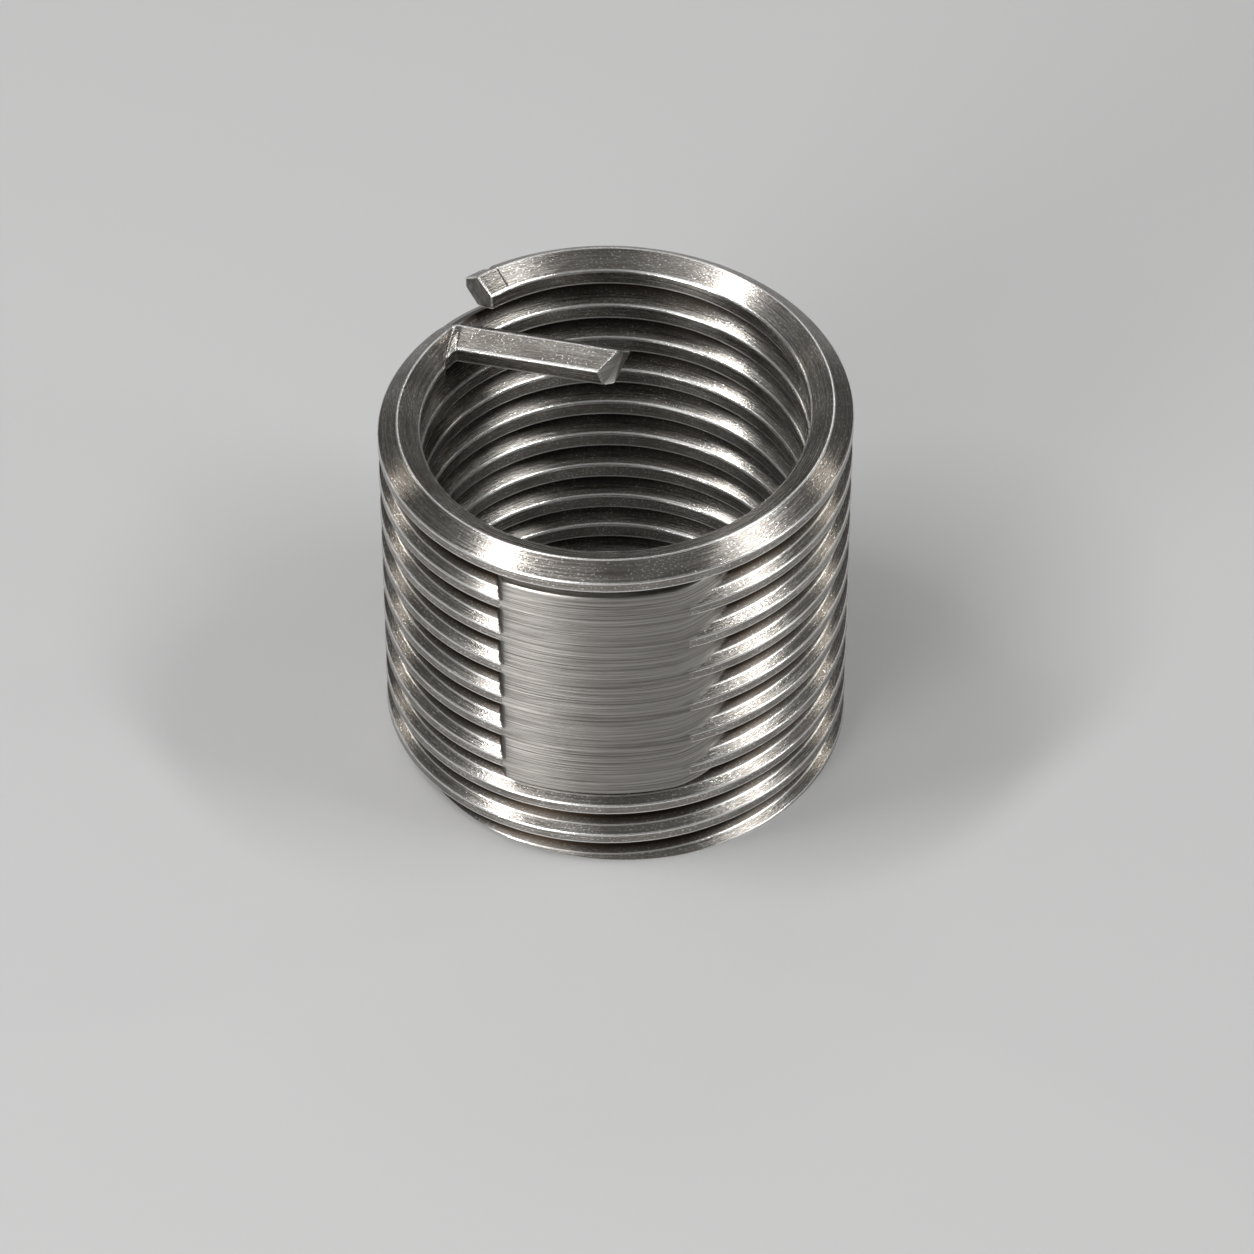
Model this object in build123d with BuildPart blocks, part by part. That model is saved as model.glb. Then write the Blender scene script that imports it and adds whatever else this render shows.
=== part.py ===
"""Helical thread insert: one coiled, rolled diamond-section wire with a driving tang."""

import os
from math import pi

from build123d import *

# ---------------------------------------------------------------- driving dimensions, mm
pitch = 2.0
crest_diameter = 21.5  # outer flats of the wire, which seat in the tapped hole
ridge_diameter = 19.72  # top and bottom ridges, where neighbouring turns nearly meet
bore_diameter = 17.6  # inner flats of the wire, the crests of the bolt's thread
wire_height = 1.84
crest_flat = 0.5
bore_flat = 0.78

overall_height = 19.5  # from the ground end to the ridge at the cut end, before springing
turns = 9.85
top_turn_spring = 0.12  # how far the free top turn stands up from the regular pitch
plain_turns = 1.75  # top turns beside the tang, left clear of the bore's gauged wall
end_turns = 2.85  # bottom turns, drawn closer together towards the ground end
end_pitch = 1.9

cut_end_angle = 130.0  # the wire's cut end, seen from above
nick_angle = 123.5  # a small V nick across the upper outer flank near the cut end
nick_depth = 0.22  # at the crest, running out to nothing at the ridge

tang_angle = 138.0  # where the tang leaves the coil
tang_heading = -13.6
tang_tip_start = 7.69  # where the slanting tip cut meets the tang's top ridge
tang_tip_normal = (0.73, -0.61, 0.24)  # along the tang, out sideways, up
tang_length = 8.25  # where its undercut end would meet that ridge
tang_end_normal = (0.93, -0.11, -0.34)
tang_lap = 0.15  # how far the tang's root reaches back into the coil's wire

land_start_angle = -121.0  # smooth marking land over the grooves at the front
land_end_angle = -64.0
land_run_out = 0.9  # rounding of its two upright edges
land_seat = 0.15  # how far the land reaches in past the ridges
land_top_gap = 0.62  # below the centre of the top turn
land_bottom_turn = 8
land_bottom_gap = 1.05  # above the centre of that turn

# ---------------------------------------------------------------- worked out from those
crest_radius = crest_diameter / 2
ridge_radius = ridge_diameter / 2
bore_radius = bore_diameter / 2
cut_end_centre = overall_height - wire_height / 2
regular_turns = turns - end_turns
trim_allowance = 0.2


def turns_below_end(angle, whole_turns=0):
    """How many turns below the cut end the wire passes a given angle."""
    return (cut_end_angle - angle) / 360 + whole_turns


def wire_centre(turns_down):
    """Height of the wire's centre that many turns below the cut end."""
    spring = top_turn_spring * max(0.0, 1 - turns_down)
    closing = (pitch - end_pitch) * max(0.0, turns_down - regular_turns)
    return cut_end_centre - pitch * turns_down + spring + closing


def wire_profile(outer_run=0.0, inner_run=0.0):
    """The rolled diamond section around its centre. Its flanks can run on past the flats."""
    half_height = wire_height / 2
    outer_slope = (half_height - crest_flat / 2) / (crest_radius - ridge_radius)
    inner_slope = (half_height - bore_flat / 2) / (ridge_radius - bore_radius)
    outer = (crest_radius + outer_run, crest_flat / 2 - outer_slope * outer_run)
    inner = (bore_radius - inner_run, bore_flat / 2 - inner_slope * inner_run)
    upper = [inner, (ridge_radius, half_height), outer]
    return upper + [(x, -y) for x, y in reversed(upper)]


def coil_piece(turn_fraction, piece_pitch, gauged_bore=False):
    """A length of coil that starts on the X axis at height 0 and climbs anticlockwise.

    Its flanks run past the flats, which are then trimmed to the crest cylinder and, where the
    bore is gauged, to the bore cylinder.
    """
    inner_run = trim_allowance if gauged_bore else 0.0
    with BuildPart() as piece:
        with BuildSketch(Plane.XZ):
            with BuildLine():
                Polyline(*wire_profile(trim_allowance, inner_run), close=True)
            make_face()
        with BuildLine():
            Helix(piece_pitch, piece_pitch * turn_fraction, ridge_radius)
        sweep(is_frenet=True, clean=False)
        with BuildSketch(Plane.XY.offset(-piece_pitch)):
            Circle(crest_radius)
            if gauged_bore:
                Circle(bore_radius, mode=Mode.SUBTRACT)
        extrude(amount=3 * piece_pitch, mode=Mode.INTERSECT, clean=False)
    return piece


def place_below_end(turns_down):
    """Where a coil piece goes whose lower end lies that many turns below the cut end."""
    angle = cut_end_angle - 360 * turns_down
    return Location((0, 0, wire_centre(turns_down)), (0, 0, angle))


def piece_places(first_turn, turn_fraction, count):
    """Places for that many coil pieces in a row, from first_turn below the cut end down."""
    return [place_below_end(first_turn + turn_fraction * (i + 1)) for i in range(count)]


# ---------------------------------------------------------------- coil pieces
quarter = 0.25
second_turn_count = round((plain_turns - 1) / quarter)
gauged_count = round((regular_turns - plain_turns) / quarter)
end_count = round(end_turns / quarter)
end_fraction = end_turns / end_count

sprung_piece = coil_piece(quarter, pitch + top_turn_spring)
plain_piece = coil_piece(quarter, pitch)
gauged_piece = coil_piece(quarter, pitch, gauged_bore=True)
end_piece = coil_piece(end_fraction, end_pitch, gauged_bore=True)

# ---------------------------------------------------------------- tang
tang_corner = Vector(ridge_radius, 0).rotate(Axis.Z, tang_angle)
tang_level = wire_centre(turns_below_end(tang_angle, 1))
tang_direction = Vector(1, 0).rotate(Axis.Z, tang_heading)
coil_direction = Vector(1, 0).rotate(Axis.Z, tang_angle - 90)
tang_origin = Vector(tang_corner.X, tang_corner.Y, tang_level)
# The section's outward side lies to the left of the tang's own direction.
tang_section = Plane(tang_origin, x_dir=tang_direction.rotate(Axis.Z, 90), z_dir=tang_direction)
tang_end_axes = Plane(tang_origin, x_dir=tang_direction, z_dir=(0, 0, 1))


def tang_cut(reach, normal):
    """A plane across the tang that meets its top ridge at a given reach from the coil."""
    point = tang_end_axes.from_local_coords(Vector(reach, 0, wire_height / 2))
    return Plane(point, z_dir=tang_end_axes.from_local_coords(Vector(*normal)) - tang_origin)


mitre_normal = coil_direction + tang_direction
tang_root = tang_origin - coil_direction * tang_lap

with BuildPart() as tang:
    with BuildSketch(tang_section):
        with BuildLine():
            Polyline(*[(x - ridge_radius, -y) for x, y in wire_profile()], close=True)
        make_face()
    extrude(amount=tang_length, both=True)
    split(bisect_by=Plane(tang_root, z_dir=mitre_normal), keep=Keep.TOP)
    split(bisect_by=tang_cut(tang_tip_start, tang_tip_normal), keep=Keep.BOTTOM)
    split(bisect_by=tang_cut(tang_length, tang_end_normal), keep=Keep.BOTTOM)

# ---------------------------------------------------------------- marking land
front_turns = turns_below_end(-90)
helix_slope = pitch / (2 * pi * crest_radius)
land_inner_radius = ridge_radius - land_seat
land_top = wire_centre(front_turns) - land_top_gap
land_bottom = wire_centre(front_turns + land_bottom_turn - 1) + land_bottom_gap
land_arc = land_end_angle - land_start_angle

with BuildPart() as land:
    with BuildSketch():
        with BuildLine():
            outer_edge = CenterArc((0, 0), crest_radius, land_start_angle, land_arc)
            inner_edge = CenterArc((0, 0), land_inner_radius, land_start_angle, land_arc)
            Line(outer_edge @ 0, inner_edge @ 0)
            Line(outer_edge @ 1, inner_edge @ 1)
        make_face()
        outer_corners = vertices().sort_by(lambda v: Vector(v).length)[-2:]
        fillet(outer_corners, land_run_out)
    extrude(amount=overall_height)
    follow_turns = (-helix_slope, 0, 1)
    split(bisect_by=Plane((0, 0, land_top), z_dir=follow_turns), keep=Keep.BOTTOM)
    split(bisect_by=Plane((0, 0, land_bottom), z_dir=follow_turns), keep=Keep.TOP)

# ---------------------------------------------------------------- nick near the cut end
nick_centre = wire_centre(turns_below_end(nick_angle))
nick_top = Vector(ridge_radius, 0, nick_centre + wire_height / 2).rotate(Axis.Z, nick_angle)
nick_foot = Vector(crest_radius, 0, nick_centre + crest_flat / 2 - nick_depth)
nick_line = nick_foot.rotate(Axis.Z, nick_angle) - nick_top
along_wire = Vector(0, 1).rotate(Axis.Z, nick_angle)

with BuildPart() as nick:
    with BuildSketch(Plane(nick_top, x_dir=along_wire, z_dir=nick_line)):
        with BuildLine():
            Polyline((0, 0), (1, 1), (-1, 1), close=True)  # a right-angled V, open upward
        make_face()
    extrude(amount=nick_line.length + nick_depth)

# ---------------------------------------------------------------- the whole insert
with BuildPart() as wire_coil:
    with Locations(*piece_places(regular_turns, end_fraction, end_count)):
        add(end_piece.part, clean=False)
    with Locations(*piece_places(plain_turns, quarter, gauged_count)):
        add(gauged_piece.part, clean=False)
    with Locations(*piece_places(1, quarter, second_turn_count)):
        add(plain_piece.part, clean=False)
    with Locations(*piece_places(0, quarter, round(1 / quarter))):
        add(sprung_piece.part, clean=False)
    add(nick.part, clean=False, mode=Mode.SUBTRACT)
    add(tang.part, clean=False)
    add(land.part, clean=False)
    split(bisect_by=Plane.XY, keep=Keep.TOP)

wire_coil.part.label = "wire_coil"
os.makedirs("parts", exist_ok=True)
export_step(wire_coil.part, "parts/wire_coil.step")
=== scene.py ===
"""Helical thread insert in drawn stainless wire, standing on a plain pale floor.

The coil's lengths are in millimetres until MM turns them into Blender's metres, and the stage's
are in metres. A place along the wire is a number of turns below its cut end.
"""

from math import cos, pi, radians, sin

import bpy
import numpy as np
from mathutils import Matrix, Vector

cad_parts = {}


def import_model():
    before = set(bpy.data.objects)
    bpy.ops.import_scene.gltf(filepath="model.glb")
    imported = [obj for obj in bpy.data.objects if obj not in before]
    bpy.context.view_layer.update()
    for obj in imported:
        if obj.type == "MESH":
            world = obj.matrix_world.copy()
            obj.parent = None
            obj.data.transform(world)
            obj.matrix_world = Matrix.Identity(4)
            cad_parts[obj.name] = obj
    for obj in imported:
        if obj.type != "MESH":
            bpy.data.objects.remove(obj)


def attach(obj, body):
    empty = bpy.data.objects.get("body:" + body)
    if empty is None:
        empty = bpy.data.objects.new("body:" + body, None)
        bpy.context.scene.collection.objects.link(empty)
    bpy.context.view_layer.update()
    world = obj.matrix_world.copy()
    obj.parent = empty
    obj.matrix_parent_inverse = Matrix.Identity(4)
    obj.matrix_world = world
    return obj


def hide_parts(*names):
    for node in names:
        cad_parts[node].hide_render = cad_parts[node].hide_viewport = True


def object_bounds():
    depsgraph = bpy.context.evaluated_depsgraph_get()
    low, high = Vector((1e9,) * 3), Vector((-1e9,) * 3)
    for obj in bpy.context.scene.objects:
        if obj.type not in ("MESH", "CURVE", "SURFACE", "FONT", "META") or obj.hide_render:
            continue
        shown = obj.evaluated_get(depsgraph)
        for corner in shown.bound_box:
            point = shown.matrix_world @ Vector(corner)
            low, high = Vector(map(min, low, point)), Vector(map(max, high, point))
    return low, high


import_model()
cad_low, cad_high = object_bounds()

MM = 0.001

# ---------------------------------------------------------------- the wire and its coil
PITCH = 2.0
CREST_RADIUS = (cad_high.x - cad_low.x) / 2 / MM
RIDGE_RADIUS = 9.86
BORE_RADIUS = 8.8
WIRE_HEIGHT = 1.84
CREST_FLAT = 0.5
BORE_FLAT = 0.78
TOP_TURN_SPRING = 0.12
CUT_END_CENTRE = cad_high.z / MM - TOP_TURN_SPRING - WIRE_HEIGHT / 2
TURNS = 9.85
END_TURNS = 2.85  # the bottom turns, drawn closer together
END_PITCH = 1.9
CUT_END_ANGLE = 130.0

RIDGE_ROUNDING = 0.07
CREST_ROUNDING = 0.05
BORE_ROUNDING = 0.09
LINE_ROUNDING = 0.03
ROUNDING_LIMIT = 0.3  # the most that a rounding takes of the shorter side beside it
SUPPORT = 0.02  # plain strip kept beside each rounding, so that the flats stay flat
SUPPORT_LIMIT = 1.4  # the most that both take, against that limit
END_BEVEL = 0.05
STATIONS_PER_TURN = 180

# Near the ridges that face a neighbour the flanks are relieved, with painted shade between turns.
RELIEF_OUT = 0.5  # how far out from the ridge it starts
RELIEF_OUT_FULL = RELIEF_OUT / 3  # and where it has its full depth
RELIEF_IN = 0.62  # how far in from the ridge it starts
RELIEF_DEPTH = 0.06
RELIEF_FADE = 0.05  # turns over which it comes and goes along the wire
FULL_SHADE_SHARE = 0.8  # of the relief's width that has the full painted shade

# ---------------------------------------------------------------- tang
TANG_ANGLE = 138.0
TANG_HEADING = radians(-13.6)
TANG_TIP_START = 7.69
TANG_TIP_NORMAL = (0.73, -0.61, 0.24)  # along the tang, out sideways, up
TANG_LENGTH = 8.25
TANG_END_NORMAL = (0.93, -0.11, -0.34)
TANG_STATIONS = 13
TIP_CURVE = 0.9  # how fast the tip's outer side falls back, with the square of the distance
TIP_CURVE_START = 0.2  # how far out from the ridge that distance starts
TIP_RIM_WEAR_AND_HIGHLIGHT = 0.45  # how bright the tip's rim is painted, for wear and as a highlight line
FAR_FLANK_SHADE = 0.7  # painted shade on the tang's upper outer flank
FAR_FLANK_START = 0.04

BEND_ANGLE = 16.0  # degrees of coil that the bend takes up
BEND_RUN = 1.15  # and the length of tang
BEND_LENGTH = radians(BEND_ANGLE) * RIDGE_RADIUS + BEND_RUN
BEND_STATIONS = 45
BEND_SOFTNESS = (0.08, 0.12, 0.3)  # share of it that turns, at the bore, the ridge and the crest
INNER_KNEE = (147.4, 9.2)  # where the squeezed inside of the bend turns: its angle and radius
INNER_DRAWN = (-0.75, 0.05)  # steps of the bend over which it leaves the coil's own line
INNER_SETTLE = 0.35  # the length of tang in which it settles on the tang's line
CREASE_DEPTH = 0.08
CREASE_STEP = -0.05  # where it lies in the bend
CREASE_WIDTH = 0.09
CREASE_LOW = BORE_FLAT / 4  # how far down the wire's inside it reaches

ROOT_LAP = 2.5  # degrees before the tang's corner at which the rest of the coil starts
ROOT_TUCK = 0.05  # how much slimmer it is there, to stay inside the bend
ROOT_TUCK_TURNS = 0.02

# ---------------------------------------------------------------- marking land at the front
LAND_FADE_IN = (-122.5, -117.3)  # angles over which it rises from the grooves' floor
LAND_FADE_OUT = (-57.0, -76.0)
LAND_STATIONS = (23, 21, 31)  # where it rises at the left, at full height and at the right
LAND_RISE_POWER = 1.5  # above 1 its sides are steepest at their start
LAND_FOOT = -0.3  # how far its solid reaches in from the ridges
LAND_PROUD = 0.003
LAND_TUCK = 0.009  # how far it hides inside the wire where it hasn't risen yet
LAND_BLEND = 0.06  # softness of the line where it leaves a flank
LAND_TOP_TURN = 1
LAND_BOTTOM_TURN = 8
LAND_TOP_GAP = 0.62  # below the centre of the turn above
LAND_BOTTOM_GAP = 1.05  # above the centre of the bottom one
LAND_BEVEL = 0.04
LAND_MARGIN = 0.02  # kept free between its edges and the nearest row of points
LAND_ROWS = (-0.04, 0.0, 0.04, 0.14, 0.24, 0.34, 0.44, 0.52, 0.6)  # from a crest flat's edge
LAND_BRUSHED = 0.5  # share of its rise at which it is fully brushed

# ---------------------------------------------------------------- nick near the cut end
NICK_ANGLE = 123.5
NICK_DEPTH = 0.22
NICK_STEPS = (-1, -0.95, -0.32, -0.2, 0, 0.2, 0.32, 0.95, 1)  # stations, in depths from its middle
NICK_CLEAR = 2  # depths from its middle within which the coil has no other stations
CRACK_DEPTH = 0.04  # of the fine crack that runs on from it across the inner flank
CRACK_REACH = 0.8  # how far across that flank it runs


def turns_at(angle, whole_turns=0):
    """How many turns below the cut end the wire passes a given angle."""
    return (CUT_END_ANGLE - angle) / 360 + whole_turns


def wire_length(turns):
    """The length of so many turns, along the ridges."""
    return 2 * pi * RIDGE_RADIUS * turns


BEND_START = turns_at(TANG_ANGLE + BEND_ANGLE, 1)
TANG_TURN = turns_at(TANG_ANGLE, 1)


def wire_centre(turns_down):
    """Height of the wire's centre that many turns below the cut end."""
    spring = TOP_TURN_SPRING * np.maximum(0.0, 1 - turns_down)
    closing = (PITCH - END_PITCH) * np.maximum(0.0, turns_down - (TURNS - END_TURNS))
    return CUT_END_CENTRE - PITCH * turns_down + spring + closing


def smooth_step(x, start, end):
    """From 0 at start and before it to 1 at end and past it, with soft ends."""
    x = np.clip((x - start) / (end - start), 0.0, 1.0)
    return x * x * (3 - 2 * x)


def facing(turns_down):
    """How far the upper and the lower side of the wire face a neighbouring turn, from 0 to 1."""
    upper = smooth_step(turns_down, 1 - RELIEF_FADE, 1)
    lower = 1 - smooth_step(turns_down, TURNS - 1 - RELIEF_FADE, TURNS - 1)
    return upper, lower


# ---------------------------------------------------------------- the wire's section
def wire_corners(turns_down, on_tang=False):
    """The section's corners at each station, out from the ridge circle and up from its centre."""
    half = WIRE_HEIGHT / 2
    crest = CREST_RADIUS - RIDGE_RADIUS
    bore = BORE_RADIUS - RIDGE_RADIUS
    slope = (half - CREST_FLAT / 2) / crest
    inner_slope = (half - BORE_FLAT / 2) / -bore
    upper = [
        (crest, CREST_FLAT / 2),
        (RELIEF_OUT, half - RELIEF_OUT * slope),
        (RELIEF_OUT_FULL, half - RELIEF_OUT_FULL * slope),
        (0.0, half),
        (-RELIEF_IN, half - RELIEF_IN * inner_slope),
        (bore, BORE_FLAT / 2),
    ]
    shape = np.array(upper + [(x, -y) for x, y in reversed(upper)])
    corners = np.repeat(shape[None], len(turns_down), axis=0)
    if not on_tang:
        faces_up, faces_down = facing(turns_down)
        corners[:, 2:4, 1] -= (RELIEF_DEPTH * faces_up)[:, None]
        corners[:, 8:10, 1] += (RELIEF_DEPTH * faces_down)[:, None]
    return corners


# For each corner of the section: its rounding, and how many points that takes.
HALF_ROUNDINGS = [
    (CREST_ROUNDING, 4),
    (LINE_ROUNDING, 2),
    (0.0, 1),
    (RIDGE_ROUNDING, 4),
    (0.0, 1),
    (BORE_ROUNDING, 4),
]
ROUNDINGS = HALF_ROUNDINGS + HALF_ROUNDINGS[::-1]
RELIEF_LINE = slice(6, 10)  # the points of the upper line where the outer relief starts


def rounded(corners):
    """Each station's section with its corners rounded, as (stations, points, 2)."""
    before = np.roll(corners, 1, axis=1) - corners
    after = np.roll(corners, -1, axis=1) - corners
    length_before = np.linalg.norm(before, axis=2, keepdims=True)
    length_after = np.linalg.norm(after, axis=2, keepdims=True)
    limit = ROUNDING_LIMIT * np.minimum(length_before, length_after)
    before, after = before / length_before, after / length_after
    points = []
    for i, (rounding, count) in enumerate(ROUNDINGS):
        corner = corners[:, i]
        if count == 1:
            points.append(corner)
            continue
        reach = np.minimum(rounding, limit[:, i])
        support = np.minimum(reach + SUPPORT, SUPPORT_LIMIT * limit[:, i])
        start, end = corner + before[:, i] * reach, corner + after[:, i] * reach
        points.append(corner + before[:, i] * support)
        for x in np.linspace(0, 1, count):
            points.append(start * (1 - x) ** 2 + corner * 2 * x * (1 - x) + end * x**2)
        points.append(corner + after[:, i] * support)
    return np.stack(points, axis=1)


def shrunk(section, inset):
    """One section drawn in towards its middle, for the bevel round an end."""
    middle = section.mean(axis=0)
    out = section - middle
    size = np.linalg.norm(out, axis=1, keepdims=True)
    return middle + out * (1 - inset / size)


def nicked(sections, turns_past):
    """Cuts the V nick into the upper outer flank, from nothing at the ridge to the crest."""
    depth = NICK_DEPTH - np.abs(turns_past) * 2 * pi * CREST_RADIUS
    out, up = sections[..., 0], sections[..., 1]
    share = np.clip(out / (CREST_RADIUS - RIDGE_RADIUS), 0, 1) * (up > 0)
    in_middle = np.isclose(turns_past, 0)[:, None]
    sections[..., 1] -= share * np.maximum(depth, 0.0)[:, None]
    sections[..., 1] -= CRACK_DEPTH * (on_crack(sections) & in_middle)
    return sections


def on_crack(sections):
    """Which points of a section the fine crack runs over: its upper inner flank."""
    out, up = sections[..., 0], sections[..., 1]
    end = CRACK_REACH * (BORE_RADIUS - RIDGE_RADIUS)
    return (out <= 0) & (out > end) & (up > BORE_FLAT / 2)


def edge_wear_and_highlight_marks(turns_down):
    """1 for the points of each section on a rounded edge, painted bright as wear and highlight, 0
    for the rest.
    """
    marks = []
    for _, count in ROUNDINGS:
        marks += [0.0] if count == 1 else [0.0] + [1.0] * count + [0.0]
    marks = np.repeat(np.array(marks)[None], len(turns_down), axis=0)
    # Where the wire faces a neighbour, the relief's line gets a painted highlight line.
    marks[:, RELIEF_LINE] *= facing(turns_down)[0][:, None]
    return marks


def ridge_shade(distance, relief):
    """Strength of the painted shade: 1 close to the ridge, fading to 0 where the relief starts."""
    return 1 - smooth_step(distance, FULL_SHADE_SHARE * relief, relief)


def painted_groove_shade(sections, turns_down):
    """Painted shade: 1 deep in the grooves between neighbouring turns, 0 out on the open flanks.
    """
    out, up = sections[..., 0], sections[..., 1]
    faces_up, faces_down = facing(turns_down)
    faces = np.where(up > 0, faces_up[:, None], faces_down[:, None])
    return faces * np.where(out > 0, ridge_shade(out, RELIEF_OUT), ridge_shade(-out, RELIEF_IN))


# ---------------------------------------------------------------- places in the coil
def radial(angle):
    """The outward direction at an angle, seen from above."""
    angle = np.radians(angle)
    return np.stack([np.cos(angle), np.sin(angle)], axis=-1)


def on_circle(angle, out):
    """Places at an angle, so far out from the ridge circle."""
    return radial(angle) * (RIDGE_RADIUS + out)


def on_coil(sections, turns_down):
    """Places sections round the coil."""
    angle = CUT_END_ANGLE - 360 * turns_down
    plan = on_circle(angle[:, None], sections[..., :1])
    height = wire_centre(turns_down)[:, None, None] + sections[..., 1:]
    return np.concatenate([plan, height], axis=2)


# ---------------------------------------------------------------- skins
class Skin:
    """Rings of points that become one closed skin, with its wire coordinates and finish."""

    def __init__(self):
        self.rings = []
        self.runs = []
        self.sections = []
        # Painted shade between turns and on the tang's far flank, and the crack's dark line, at
        # each point.
        self.shade_and_crack_marks = []
        # Edges painted bright at each point, as wear and as highlight lines.
        self.edges = []
        self.brushed = 0.0
        self.caps = {}  # where an end isn't one flat face: its parts, as points of that ring
        self.last_cut = 1.0  # finish of its last end, from plain wire at 0 to freshly sheared

    def add(self, ring, run, section, edge_wear_and_highlight=None):
        """Adds a ring that faces no other turn."""
        edges = edge_wear_and_highlight_marks(np.zeros(1)) if edge_wear_and_highlight is None else np.full((1, len(section)), edge_wear_and_highlight)
        self.extend([ring], [run], [section], np.zeros((1, len(section))), edges)

    def extend(self, rings, runs, sections, shade_and_crack_marks, edges):
        """Adds rings with, for each, how far along the wire it lies, its section and its marks."""
        self.rings += list(rings)
        self.runs += list(runs)
        self.sections += list(sections)
        self.shade_and_crack_marks += list(shade_and_crack_marks)
        self.edges += list(edges)

    def extend_coil(self, rings, sections, turns_down):
        shade_and_crack_marks = painted_groove_shade(sections, turns_down)
        self.extend(rings, wire_length(turns_down), sections, shade_and_crack_marks, edge_wear_and_highlight_marks(turns_down))


# ---------------------------------------------------------------- top turn and tang
def upper_wire():
    """The top turn from its cut end round to the tang's tip."""
    skin = Skin()
    first = add_cut_end(skin)
    add_top_turn(skin, first)
    tang_section = rounded(wire_corners(np.zeros(1), on_tang=True))[0]
    add_bend(skin, tang_section)
    add_tang(skin, tang_section)
    return skin


def add_cut_end(skin):
    """The bevel round the cut end. Returns where the next ring goes."""
    end_section = rounded(wire_corners(np.zeros(1)))[0]
    bevel_turn = END_BEVEL / wire_length(1)
    # The cut end's bevel rings are painted bright, as wear and as highlight lines.
    for inset, turn, edge_wear_and_highlight in ((2 * END_BEVEL, 0, 0), (END_BEVEL, 0, 1), (0, bevel_turn, 1)):
        section = shrunk(end_section, inset)
        ring = on_coil(section[None], np.full(1, turn))[0]
        skin.add(ring, wire_length(turn), section, edge_wear_and_highlight)
    return 2 * bevel_turn


def add_top_turn(skin, first):
    """The top turn with its nick, as far as the bend."""
    turns = np.linspace(first, BEND_START, round(STATIONS_PER_TURN * BEND_START))
    nick_turn = turns_at(NICK_ANGLE)
    depth_turn = NICK_DEPTH / (2 * pi * CREST_RADIUS)
    clear = turns[np.abs(turns - nick_turn) > NICK_CLEAR * depth_turn]
    turns = np.sort(np.concatenate([clear, nick_turn + np.array(NICK_STEPS) * depth_turn]))
    sections = nicked(rounded(wire_corners(turns)), turns - nick_turn)
    skin.extend_coil(on_coil(sections, turns), sections, turns)
    cracked = int(np.argmin(np.abs(turns - nick_turn)))
    # The crack's dark line goes in the same channel as the painted shade.
    skin.shade_and_crack_marks[cracked - len(turns)] = on_crack(sections[cracked]).astype(float)


def tang_frame():
    """The tang's corner on the ridge circle, its direction and the way out from it."""
    heading = np.array([cos(TANG_HEADING), sin(TANG_HEADING)])
    side = np.array([-heading[1], heading[0]])
    corner = radial(TANG_ANGLE) * RIDGE_RADIUS
    return corner, heading, side


def inside_share(out):
    """From 0 at the ridge and outside it to 1 at the bore."""
    return np.clip(out / (BORE_RADIUS - RIDGE_RADIUS), 0, 1)


def bend_knees(out):
    """Where each point of the section turns from the coil to the tang, seen from above.

    The outside of the wire turns at a true mitre, and its inside is squeezed and turns earlier.
    """
    corner, heading, side = tang_frame()
    along, across = corner @ heading, corner @ side
    outer = np.maximum(out, 0)
    # How far along the tang each point's line meets its own circle round the coil.
    mitre = -along - np.sqrt(along**2 - (2 * (across - RIDGE_RADIUS)) * outer)
    mitred = corner + mitre[:, None] * heading + outer[:, None] * side
    inner_angle, inner_radius = INNER_KNEE
    inside = inside_share(out)
    squeezed = radial(TANG_ANGLE + (inner_angle - TANG_ANGLE) * inside)
    squeezed *= (RIDGE_RADIUS + (inner_radius - RIDGE_RADIUS) * inside)[:, None]
    return np.where((out > 0)[:, None], mitred, squeezed)


def bend_path(out, knee, step):
    """Where the section's points are at their steps, from -1 on the coil to 1 on the tang."""
    corner, heading, side = tang_frame()
    knee_angle = np.degrees(np.arctan2(knee[:, 1], knee[:, 0]))
    knee_out = np.linalg.norm(knee, axis=1) - RIDGE_RADIUS
    turn = knee_angle - (TANG_ANGLE + BEND_ANGLE - knee_angle) * np.minimum(step, 0)
    drawn_in = smooth_step(step, *INNER_DRAWN)
    on_arc = on_circle(turn, (out + (knee_out - out) * drawn_in)[:, None])

    knee_run, knee_side = (knee - corner) @ heading, (knee - corner) @ side
    run = knee_run + (BEND_RUN - knee_run) * np.maximum(step, 0)
    settled = smooth_step(run - knee_run, 0.0, INNER_SETTLE)
    away = knee_side + (out - knee_side) * settled
    on_line = corner + run[:, None] * heading + away[:, None] * side
    return np.where((step < 0)[:, None], on_arc, on_line)


def add_bend(skin, section):
    """The bend from the coil into the tang, with the crease inside it."""
    out, up = section[:, 0], section[:, 1]
    knee = bend_knees(out)
    soft = np.interp(out, [out.min(), 0, out.max()], BEND_SOFTNESS)
    before, after = bend_path(out, knee, -soft), bend_path(out, knee, soft)
    start_level, tang_level = wire_centre(np.array([BEND_START, TANG_TURN]))
    creased = CREASE_DEPTH * inside_share(out) * (up > CREASE_LOW)
    for step in np.linspace(-1, 1, BEND_STATIONS)[1:]:
        x = np.clip((step / soft[:, None] + 1) / 2, 0, 1)
        curve = before * (1 - x) ** 2 + knee * 2 * x * (1 - x) + after * x**2
        path = bend_path(out, knee, np.full(len(out), step))
        plan = np.where(np.abs(step) < soft[:, None], curve, path)
        level = start_level + (tang_level - start_level) * min(1.0, step + 1)
        crease = creased * np.exp(-(((step - CREASE_STEP) / CREASE_WIDTH) ** 2))
        ring = np.concatenate([plan, (level + up - crease)[:, None]], axis=1)
        skin.add(ring, wire_length(BEND_START) + BEND_LENGTH * (step + 1) / 2, section)


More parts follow.
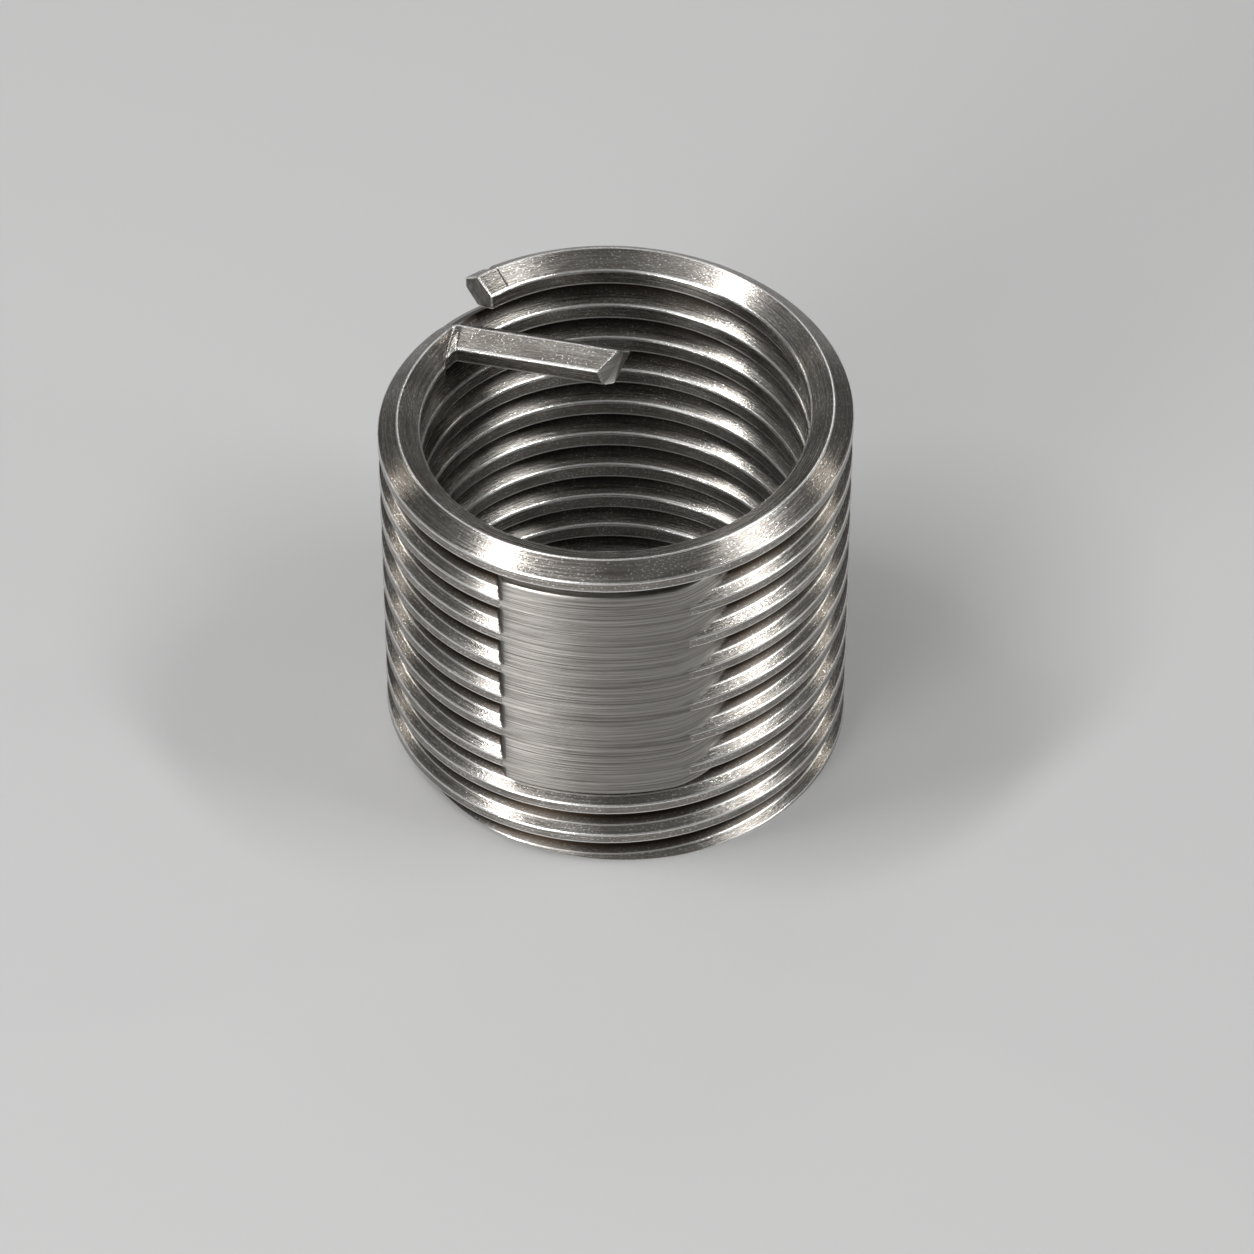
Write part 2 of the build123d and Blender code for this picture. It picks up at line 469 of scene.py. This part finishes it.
def add_tang(skin, section):
    """The straight tang, and its tip of two faces: the slanting tip cut and the undercut end."""
    out, up = section[:, 0], section[:, 1]
    corner, heading, side = tang_frame()
    level = wire_centre(np.array(TANG_TURN))

    def reach_to(start, normal):
        """How far along the tang a cut plane lies at each point of the section."""
        return start - (normal[1] * out + normal[2] * (up - WIRE_HEIGHT / 2)) / normal[0]

    tip_cut = reach_to(TANG_TIP_START, TANG_TIP_NORMAL)
    end_cut = reach_to(TANG_LENGTH, TANG_END_NORMAL)
    tip = np.minimum(tip_cut, end_cut) - TIP_CURVE * np.maximum(0, out - TIP_CURVE_START) ** 2
    # The tang's upper outer flank is painted darker, as shade.
    far_flank_shade = FAR_FLANK_SHADE * ((out > FAR_FLANK_START) & (up > CREST_FLAT / 2))

    def add_ring(share, behind_tip, inset=0.0, edge_wear_and_highlight=None):
        ring = shrunk(section, inset)
        reach = BEND_RUN + (tip - behind_tip - BEND_RUN) * share
        plan = corner + reach[:, None] * heading + ring[:, :1] * side
        run = BEND_LENGTH + (TANG_TIP_START - BEND_RUN) * share - behind_tip
        place = np.concatenate([plan, level + ring[:, 1:]], axis=1)
        skin.add(place, wire_length(BEND_START) + run, section, edge_wear_and_highlight)
        skin.shade_and_crack_marks[-1] = far_flank_shade

    for share in np.linspace(0, 1, TANG_STATIONS)[1:]:
        add_ring(share, 2 * END_BEVEL)
    # The tip's bevel rings are painted bright, as wear and as highlight lines.
    add_ring(1, END_BEVEL, edge_wear_and_highlight=1)
    add_ring(1, 0, END_BEVEL, edge_wear_and_highlight=1)
    add_ring(1, 0, 2 * END_BEVEL, edge_wear_and_highlight=TIP_RIM_WEAR_AND_HIGHLIGHT)

    # The two faces share the points where the two cuts meet.
    last = len(skin.rings) - 1
    on_tip = tip_cut < end_cut
    start = int(np.nonzero(on_tip & ~np.roll(on_tip, 1))[0][0])
    order = np.roll(np.arange(len(section)), -start)
    count = int(on_tip.sum())
    skin.caps[last] = [order[: count + 1], np.append(order[count:], order[0])]
    skin.brushed = np.append(np.zeros(last), 1.0)
    skin.last_cut = 0.0


# ---------------------------------------------------------------- the rest of the coil
def lower_wire():
    """The coil from inside the bend down to the ground end."""
    start = turns_at(TANG_ANGLE + ROOT_LAP, 1)
    turns = np.linspace(start, TURNS, round(STATIONS_PER_TURN * (TURNS - start)))
    tuck = 1 - ROOT_TUCK * (1 - smooth_step(turns, start, start + ROOT_TUCK_TURNS))
    sections = rounded(wire_corners(turns)) * tuck[:, None, None]
    skin = Skin()
    skin.extend_coil(ground(on_coil(sections, turns), sections, turns), sections, turns)
    return skin


def ground(rings, sections, turns_down):
    """Cuts the coil off flat at the floor: what reaches below it slides in along the flanks."""
    centre = wire_centre(turns_down)
    for i in np.nonzero(centre < WIRE_HEIGHT / 2)[0]:
        low = rings[i][:, 2] < 0
        if not low.any():
            continue
        out, up = sections[i][:, 0], sections[i][:, 1]
        kept = np.clip(out[low], *reach_at(out, up, -centre[i]))
        rings[i][low, :2] = on_circle(CUT_END_ANGLE - 360 * turns_down[i], kept[:, None])
        rings[i][low, 2] = 0.0
    return rings


def reach_at(out, up, level):
    """How far in and how far out a section reaches at a level."""
    next_out, next_up = np.roll(out, -1), np.roll(up, -1)
    crosses = (up - level) * (next_up - level) < 0
    if not crosses.any():
        return 0.0, 0.0
    share = (level - up[crosses]) / (next_up[crosses] - up[crosses])
    found = out[crosses] + share * (next_out[crosses] - out[crosses])
    return found.min(), found.max()


# ---------------------------------------------------------------- marking land
def land():
    """The smooth marking land: over it the grooves at the front are full to the crest cylinder."""
    left, middle, right = LAND_STATIONS
    fade_in = np.linspace(*LAND_FADE_IN, left)
    fade_out = np.linspace(*LAND_FADE_OUT, right)[::-1]
    full_height = np.linspace(fade_in[-1], fade_out[0], middle)
    angles = np.concatenate([fade_in[:-1], full_height, fade_out[1:]])
    rise = np.minimum(risen(angles, *LAND_FADE_IN), risen(angles, *LAND_FADE_OUT))

    heights, outs, top, bottom = groove_contour(turns_at(angles))
    # A level surface rises through the grooves, and leaves the flanks in a soft line.
    full = CREST_RADIUS - RIDGE_RADIUS + LAND_PROUD
    level = LAND_FOOT + (full - LAND_FOOT) * (1 - (1 - rise) ** LAND_RISE_POWER)
    hidden = outs - LAND_TUCK
    filled = (hidden + level + np.sqrt((hidden - level) ** 2 + LAND_BLEND**2)) / 2
    filled = np.minimum(filled, full)
    foot = np.full((len(angles), 1), LAND_FOOT)
    first, last = filled[:, :1] - LAND_BEVEL, filled[:, -1:] - LAND_BEVEL
    out_ring = np.concatenate([foot, first, filled, last, foot], axis=1)
    up_ring = np.concatenate([top, top, heights, bottom, bottom], axis=1)
    sections = np.stack([out_ring, up_ring], axis=2)[:, ::-1]
    plan = on_circle(angles[:, None], sections[..., :1])
    rings = np.concatenate([plan, sections[..., 1:]], axis=2)

    cover = smooth_step(rise, 0.0, LAND_BRUSHED)
    runs = np.radians(angles) * CREST_RADIUS
    # Painted shade deep in the grooves, fading out as the land rises over them.
    shade_and_crack_marks = ridge_shade(sections[..., 0], RELIEF_OUT) * (1 - cover)
    skin = Skin()
    skin.brushed = cover[:, 0]
    skin.extend(rings, runs, sections, shade_and_crack_marks, np.zeros_like(shade_and_crack_marks))
    return skin


def risen(angles, start, end):
    """How far the land's side has risen, from 0 at its start to 1 at its end."""
    return np.clip((angles - start) / (end - start), 0, 1)[:, None]


def groove_contour(turns_down):
    """Rows of points over the crests and grooves under the land, from its top to its bottom.

    Returns their heights at each station, how far out they are, and the land's top and bottom.
    """
    top = wire_centre(turns_down + LAND_TOP_TURN - 1) - LAND_TOP_GAP
    bottom = wire_centre(turns_down + LAND_BOTTOM_TURN - 1) + LAND_BOTTOM_GAP
    away, out = groove_side()
    heights, outs = [], []
    for turn in range(LAND_TOP_TURN, LAND_BOTTOM_TURN):
        centre = wire_centre(turns_down + turn - 1)
        # Down the upper flank to the crest, and down the lower one to the groove.
        upper = [(centre + a, o) for a, o in zip(away[-2::-1], out[-2::-1])]
        lower = [(centre - a, o) for a, o in zip(away, out)]
        for height, reach in upper + lower:
            heights.append(height)
            outs.append(reach)
    heights, outs = np.stack(heights, axis=1), np.array(outs)
    kept = (heights[0] < top[0] - LAND_MARGIN) & (heights[0] > bottom[0] + LAND_MARGIN)
    return heights[:, kept], outs[kept], top[:, None], bottom[:, None]


def groove_side():
    """Points down the wire's outer side to the groove: their distance from its centre, and out."""
    in_regular_turns = np.full(1, 2.0)
    corners = wire_corners(in_regular_turns)[0][:4]
    rows = np.array(LAND_ROWS) + CREST_FLAT / 2
    out = np.interp(rows, corners[:, 1], corners[:, 0])
    return np.append(rows, PITCH / 2), np.append(out, LAND_FOOT + LAND_MARGIN)


# ---------------------------------------------------------------- mesh
SHARP_ANGLE = radians(32)


def build(name, skins, material):
    """One mesh from several closed skins, with wire coordinates in a UV map."""
    points, faces, where, shade_and_crack_marks, edges, brushed, cuts = [], [], [], [], [], [], []
    for skin in skins:
        count, size = np.array(skin.rings).shape[:2]
        base = len(points)
        points += list(np.array(skin.rings).reshape(-1, 3) * MM)
        shade_and_crack_marks += list(np.array(skin.shade_and_crack_marks).ravel())
        edges += list(np.array(skin.edges).ravel())
        brushed += list(np.repeat(np.broadcast_to(skin.brushed, count), size))
        for skin_faces, skin_where, skin_cuts in (sides(skin, base), ends(skin, base)):
            faces += skin_faces
            where += skin_where
            cuts += skin_cuts
    mesh = bpy.data.meshes.new(name)
    mesh.from_pydata(np.array(points).tolist(), [], faces)
    wire_map = mesh.uv_layers.new(name="wire")
    wire_map.uv.foreach_set("vector", np.array(where, np.float32).ravel())
    # Marks for the painted shade and crack line, the edges' wear and painted highlight, and the
    # brushed land.
    for mark, values in (("shade_and_crack", shade_and_crack_marks), ("edge_wear_and_highlight", edges), ("brushed", brushed)):
        mesh.attributes.new(mark, "FLOAT", "POINT").data.foreach_set("value", values)
    mesh.attributes.new("cut", "FLOAT", "FACE").data.foreach_set("value", cuts)
    mesh.polygons.foreach_set("use_smooth", [cut == 0.0 for cut in cuts])
    mesh.set_sharp_from_angle(angle=SHARP_ANGLE)
    mesh.materials.append(material)
    obj = bpy.data.objects.new(name, mesh)
    bpy.context.scene.collection.objects.link(obj)
    return obj


def sides(skin, base):
    """A skin's faces between its rings, with their wire coordinates and cut marks."""
    count, size = len(skin.rings), len(skin.rings[0])
    section = skin.sections[1]
    steps = np.diff(section, axis=0, append=section[:1])
    around = np.concatenate([[0], np.cumsum(np.linalg.norm(steps, axis=1))])
    faces, where = [], []
    for i in range(count - 1):
        a, b = base + i * size, base + (i + 1) * size
        u0, u1 = skin.runs[i], skin.runs[i + 1]
        for j in range(size):
            k = (j + 1) % size
            faces.append((a + j, b + j, b + k, a + k))
            v0, v1 = around[j], around[j + 1]
            where += [(u0, v0), (u1, v0), (u1, v1), (u0, v1)]
    return faces, where, [0.0] * len(faces)


def ends(skin, base):
    """The faces that close a skin at both ends, with their wire coordinates and cut marks."""
    size = len(skin.rings[0])
    faces, where, cuts = [], [], []
    for i, is_last in ((0, False), (len(skin.rings) - 1, True)):
        for part in skin.caps.get(i, [range(size)]):
            ring = [base + i * size + j for j in part]
            section = np.array(skin.sections[i])[list(part)] + skin.runs[i]
            faces.append(tuple(reversed(ring)) if is_last else tuple(ring))
            where += [tuple(p) for p in (section[::-1] if is_last else section)]
            cuts.append(skin.last_cut if is_last else 1.0)
    return faces, where, cuts


# ---------------------------------------------------------------- materials
# The dark and the light end of each finish, and the plain colours.
WORN = (0.168, 0.153, 0.137), (0.385, 0.366, 0.337)
BRUSHED = (0.15, 0.138, 0.125), (0.42, 0.405, 0.38)
SHEARED = (0.07, 0.065, 0.058), (0.2, 0.19, 0.172)
SPECK = (0.80, 0.79, 0.77)
# Painted bright on edges: partly wear, partly painted highlight lines.
EDGE_WEAR_AND_HIGHLIGHT = (0.95, 0.94, 0.92)
# Painted shade between turns and on the tang's far flank, also the crack's dark line.
SHADE_AND_CRACK_COLOUR = (0.05, 0.036, 0.026)


class Nodes:
    """Short calls for making and linking a material's nodes."""

    def __init__(self, name):
        self.material = bpy.data.materials.new(name)
        self.material.use_nodes = True
        self.tree = self.material.node_tree
        self.shader = self.tree.nodes["Principled BSDF"]

    def add(self, kind, **settings):
        node = self.tree.nodes.new(kind)
        for key, value in settings.items():
            setattr(node, key, value)
        return node

    def link(self, source, target):
        self.tree.links.new(source, target)

    def math(self, operation, a, b):
        node = self.add("ShaderNodeMath", operation=operation)
        for socket, value in zip(node.inputs, (a, b)):
            if isinstance(value, (int, float)):
                socket.default_value = value
            else:
                self.link(value, socket)
        return node.outputs[0]

    def attribute(self, name):
        return self.add("ShaderNodeAttribute", attribute_name=name).outputs["Fac"]

    def noise(self, vector, scale, detail, rough):
        node = self.add("ShaderNodeTexNoise")
        node.inputs["Scale"].default_value = scale
        node.inputs["Detail"].default_value = detail
        node.inputs["Roughness"].default_value = rough
        self.link(vector, node.inputs["Vector"])
        return node.outputs["Fac"]

    def stretched(self, vector, along, across):
        node = self.add("ShaderNodeMapping")
        node.inputs["Scale"].default_value = (along, across, 1.0)
        self.link(vector, node.inputs["Vector"])
        return node.outputs["Vector"]

    def mix(self, first, second, share):
        node = self.add("ShaderNodeMix", data_type="RGBA")
        self.link(share, node.inputs["Factor"])
        self.link(first, node.inputs["A"])
        if isinstance(second, tuple):
            node.inputs["B"].default_value = (*second, 1.0)
        else:
            self.link(second, node.inputs["B"])
        return node.outputs["Result"]

    def ramp(self, value, low, high, colours=(0.0, 1.0)):
        """Turns a value from low to high into the step from the first colour to the second."""
        node = self.add("ShaderNodeValToRGB")
        for element, position, colour in zip(node.color_ramp.elements, (low, high), colours):
            element.position = position
            element.color = (*(colour if isinstance(colour, tuple) else (colour,) * 3), 1.0)
        self.link(value, node.inputs["Fac"])
        return node.outputs["Color"]


def drawn_steel():
    """Drawn stainless wire: fine lines along it, a slight grain, edges painted bright as wear and
    highlight, painted shade in the grooves.
    """
    n = Nodes("drawn_steel")
    wire = n.add("ShaderNodeUVMap", uv_map="wire").outputs["UV"]
    place = n.add("ShaderNodeTexCoord").outputs["Object"]
    cut = n.attribute("cut")
    uncut = n.math("SUBTRACT", 1.0, cut)
    # Painted shade and the crack's line, and the edges' wear and painted highlight, kept off the
    # cut faces.
    shade_and_crack = n.math("MULTIPLY", n.attribute("shade_and_crack"), uncut)
    edge_wear_and_highlight = n.math("MULTIPLY", n.attribute("edge_wear_and_highlight"), uncut)
    brushed = n.attribute("brushed")

    lines = n.noise(n.stretched(wire, 0.22, 13.0), 1.0, 5.0, 0.7)
    fine = n.noise(n.stretched(wire, 1.0, 45.0), 1.0, 2.0, 0.6)
    grain = n.noise(n.stretched(wire, 7.0, 10.0), 1.0, 2.0, 0.6)
    patches = n.noise(place, 400.0, 4.0, 0.6)
    specks = n.noise(n.stretched(wire, 9.0, 12.0), 1.0, 1.0, 0.5)
    streaks = n.noise(n.stretched(wire, 0.1, 7.0), 1.0, 6.0, 0.75)
    torn = n.noise(place, 2500.0, 3.0, 0.6)

    tone = n.math("ADD", n.math("MULTIPLY", lines, 0.6), n.math("MULTIPLY", patches, 0.4))
    speckled = n.math("ADD", specks, n.math("MULTIPLY", patches, 0.3))
    colour = n.mix(n.ramp(tone, 0.36, 0.64, WORN), SPECK, n.ramp(speckled, 0.77, 0.84))
    colour = n.mix(colour, n.ramp(streaks, 0.38, 0.62, BRUSHED), brushed)
    colour = n.mix(colour, n.ramp(torn, 0.35, 0.65, SHEARED), cut)
    # Edges painted bright: partly wear, partly painted highlight lines.
    colour = n.mix(colour, EDGE_WEAR_AND_HIGHLIGHT, n.math("MULTIPLY", edge_wear_and_highlight, 0.9))
    # Painted shade in the grooves and on the tang's far flank, and the crack's dark line.
    colour = n.mix(colour, SHADE_AND_CRACK_COLOUR, shade_and_crack)
    n.link(colour, n.shader.inputs["Base Color"])
    n.shader.inputs["Metallic"].default_value = 1.0

    dull = n.math("MULTIPLY", n.math("ADD", shade_and_crack, cut), 0.5)
    rough = n.ramp(n.math("ADD", lines, dull), 0.3, 0.65, (0.14, 0.34))
    brushed_rough = n.math("MULTIPLY", brushed, n.ramp(streaks, 0.4, 0.6, (0.06, 0.16)))
    n.link(n.math("ADD", rough, brushed_rough), n.shader.inputs["Roughness"])
    n.shader.inputs["Anisotropic"].default_value = 0.8
    n.shader.inputs["Anisotropic Rotation"].default_value = 0.25
    along = n.add("ShaderNodeTangent", direction_type="UV_MAP", uv_map="wire").outputs["Tangent"]
    n.link(along, n.shader.inputs["Tangent"])

    height = n.math("ADD", lines, n.math("MULTIPLY", fine, 0.8))
    height = n.math("ADD", height, n.math("MULTIPLY", grain, 1.4))
    bump = n.add("ShaderNodeBump")
    bump.inputs["Strength"].default_value = 0.5
    bump.inputs["Distance"].default_value = 0.01 * MM
    n.link(height, bump.inputs["Height"])
    n.link(bump.outputs["Normal"], n.shader.inputs["Normal"])
    return n.material


def floor_paint():
    n = Nodes("floor_paint")
    n.shader.inputs["Base Color"].default_value = (0.6, 0.6, 0.6, 1.0)
    n.shader.inputs["Roughness"].default_value = 0.7
    return n.material


# ---------------------------------------------------------------- stage, lights and camera
FLOOR_REACH = 2.0
FLOOR_LEVEL = -0.01 * MM  # just clear of the coil's ground end
LAMP_DISTANCE = 0.4
HORIZON_GREY, CEILING_GREY = 0.10, 0.29

CAMERA_ELEVATION = radians(44.2)
CAMERA_DISTANCE = 0.29
CAMERA_TARGET = Vector((0.525, 0.0, 4.59)) * MM
PICTURE_WIDTH = 1254
PIXELS_PER_MM = 21.48  # at the target
SENSOR_WIDTH = 36.0


def floor():
    mesh = bpy.data.meshes.new("floor")
    ways = ((-1, -1), (1, -1), (1, 1), (-1, 1))
    corners = [(x * FLOOR_REACH, y * FLOOR_REACH, FLOOR_LEVEL) for x, y in ways]
    mesh.from_pydata(corners, [], [(0, 1, 2, 3)])
    mesh.materials.append(floor_paint())
    obj = bpy.data.objects.new("floor", mesh)
    bpy.context.scene.collection.objects.link(obj)


def softbox(name, direction, upright, size, power, colour=(1.0, 1.0, 1.0)):
    """A soft rectangular light that faces the coil, with its height the upright way."""
    light = bpy.data.lights.new(name, "AREA")
    light.shape = "RECTANGLE"
    light.size, light.size_y = size
    light.energy = power
    light.color = colour
    obj = bpy.data.objects.new(name, light)
    bpy.context.scene.collection.objects.link(obj)
    facing_away = Vector(direction).normalized()
    across = Vector(upright).cross(facing_away).normalized()
    along = facing_away.cross(across)
    turned = Matrix((across, along, facing_away)).transposed().to_4x4()
    middle = Vector((0, 0, cad_high.z / 2))
    obj.matrix_world = Matrix.Translation(middle + facing_away * LAMP_DISTANCE) @ turned


def lights():
    """Keys for the highlights down both sides, and the rest to fill and edge the turns."""
    up, back = (0, 0, 1), (0, 1, 0)
    warm = (1.0, 0.94, 0.86)
    softbox("left_key", (-0.52, -0.10, 0.84), (0.156, 0.26, 0.12), (0.036, 0.2), 0.55)
    softbox("right_key", (0.56, -0.11, 0.82), (-0.13, 0.29, 0.1), (0.03, 0.17), 0.38)
    softbox("left_top", (-0.35, 0.06, 0.93), back, (0.05, 0.07), 0.07)
    softbox("left_side", (-0.79, 0.44, 0.42), up, (0.025, 0.08), 0.045, warm)
    softbox("right_side", (0.80, 0.30, 0.51), up, (0.03, 0.08), 0.05, warm)
    softbox("left_low", (-0.61, -0.78, 0.10), up, (0.16, 0.06), 1.35)
    softbox("right_low", (0.93, -0.35, 0.14), up, (0.08, 0.06), 0.2)
    softbox("front_fill", (-0.40, -0.76, 0.5), up, (0.2, 0.12), 0.12)
    softbox("top_panel", (-0.24, -0.09, 0.96), back, (0.1, 0.14), 0.03)
    softbox("back_strip", (0, 0.72, 0.70), up, (0.16, 0.05), 0.06)


def world():
    """A grey studio that grows lighter towards the ceiling."""
    made = bpy.data.worlds.new("studio")
    made.use_nodes = True
    tree = made.node_tree
    place = tree.nodes.new("ShaderNodeTexCoord")
    parts = tree.nodes.new("ShaderNodeSeparateXYZ")
    ramp = tree.nodes.new("ShaderNodeValToRGB")
    tree.links.new(place.outputs["Generated"], parts.inputs["Vector"])
    tree.links.new(parts.outputs["Z"], ramp.inputs["Fac"])
    tree.links.new(ramp.outputs["Color"], tree.nodes["Background"].inputs["Color"])
    for element, grey in zip(ramp.color_ramp.elements, (HORIZON_GREY, CEILING_GREY)):
        element.color = (grey, grey, grey, 1.0)
    bpy.context.scene.world = made


def camera():
    data = bpy.data.cameras.new("camera")
    data.sensor_width = SENSOR_WIDTH
    data.lens = SENSOR_WIDTH * PIXELS_PER_MM * CAMERA_DISTANCE / MM / PICTURE_WIDTH
    data.clip_start, data.clip_end = 0.01, 10.0
    obj = bpy.data.objects.new("camera", data)
    bpy.context.scene.collection.objects.link(obj)
    away = Vector((0, -cos(CAMERA_ELEVATION), sin(CAMERA_ELEVATION)))
    obj.location = CAMERA_TARGET + away * CAMERA_DISTANCE
    obj.rotation_euler = (CAMERA_TARGET - obj.location).to_track_quat("-Z", "Y").to_euler()
    bpy.context.scene.camera = obj


# ---------------------------------------------------------------- the scene
steel = drawn_steel()
coil = build("wire_coil_drawn", [upper_wire(), lower_wire(), land()], steel)
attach(coil, "root")
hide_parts("wire_coil")

floor()
world()
lights()
camera()
bpy.context.scene.view_settings.view_transform = "Standard"
